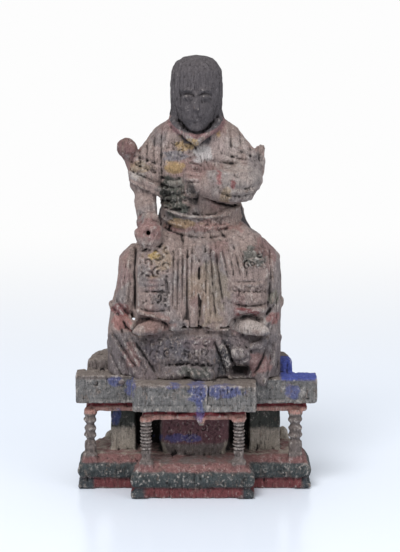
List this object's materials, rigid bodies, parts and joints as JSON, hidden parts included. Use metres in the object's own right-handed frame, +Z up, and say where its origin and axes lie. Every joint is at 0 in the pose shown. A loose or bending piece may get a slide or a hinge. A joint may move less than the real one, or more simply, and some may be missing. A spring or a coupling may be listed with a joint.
{
  "type": "carved wooden seated temple figure on a plinth",
  "caption": "Carved and painted wooden figure of a seated long-haired temple deity with a beast footrest, standing on an openwork plinth.",
  "frame": {"origin": "centre of the plinth's underside", "axes": "+Z up, the figure faces -Y, +X to the right of a viewer in front"},
  "size_m": [0.1776, 0.116, 0.3184],
  "materials": {
    "painted_robe_wood": "worn matt paint over gesso, rubbed to the wood",
    "painted_plinth_wood": "worn matt paint in grey-green, blue and red"
  },
  "bodies": {
    "root": {"openwork_plinth": "painted_plinth_wood", "seated_figure": "painted_robe_wood"}
  },
  "joints": []
}
